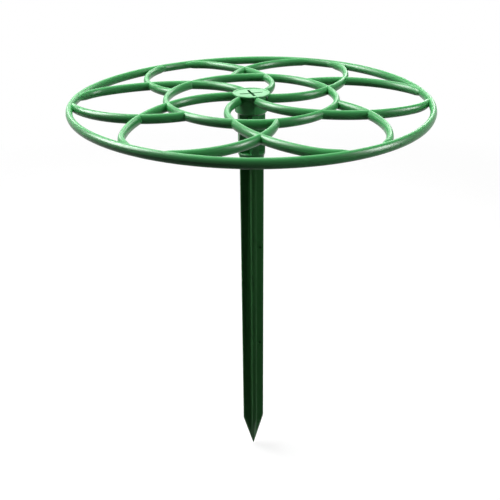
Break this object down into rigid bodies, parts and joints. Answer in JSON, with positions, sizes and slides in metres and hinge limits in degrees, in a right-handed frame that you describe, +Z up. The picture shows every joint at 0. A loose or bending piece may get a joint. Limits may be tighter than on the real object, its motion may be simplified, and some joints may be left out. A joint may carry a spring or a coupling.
{
  "type": "garden trellis",
  "caption": "Round plant support: a ring with an open pattern of petal-shaped rods on a socket, carried by a pointed cross-section ground stake.",
  "frame": {"origin": "the point of the stake, the lowest point of the object", "axes": "+Z up the stake to the grid; +X and +Y along the arms of the stake's cross section"},
  "size_m": [0.3562, 0.3562, 0.468],
  "materials": {
    "grid_plastic": "glossy moulded mid-green plastic",
    "stake_plastic": "satin moulded dark green plastic"
  },
  "bodies": {
    "stake": {"stake": "stake_plastic"},
    "ring_grid": {"hub_socket": "grid_plastic", "inner_arc_1": "grid_plastic", "inner_arc_2": "grid_plastic", "inner_arc_3": "grid_plastic", "inner_arc_4": "grid_plastic", "inner_arc_5": "grid_plastic", "inner_arc_6": "grid_plastic", "outer_ring": "grid_plastic", "return_inner_1": "grid_plastic", "return_inner_2": "grid_plastic", "return_inner_3": "grid_plastic", "return_inner_4": "grid_plastic", "return_inner_5": "grid_plastic", "return_inner_6": "grid_plastic", "return_outer_1": "grid_plastic", "return_outer_2": "grid_plastic", "return_outer_3": "grid_plastic", "return_outer_4": "grid_plastic", "return_outer_5": "grid_plastic", "return_outer_6": "grid_plastic", "spoke_1": "grid_plastic", "spoke_2": "grid_plastic", "spoke_3": "grid_plastic", "spoke_4": "grid_plastic", "spoke_5": "grid_plastic", "spoke_6": "grid_plastic"}
  },
  "joints": [
    {"name": "grid_lift", "type": "slide", "parent": "stake", "child": "ring_grid", "axis": [0, 0, 1], "range_m": [0, 0.07]}
  ]
}
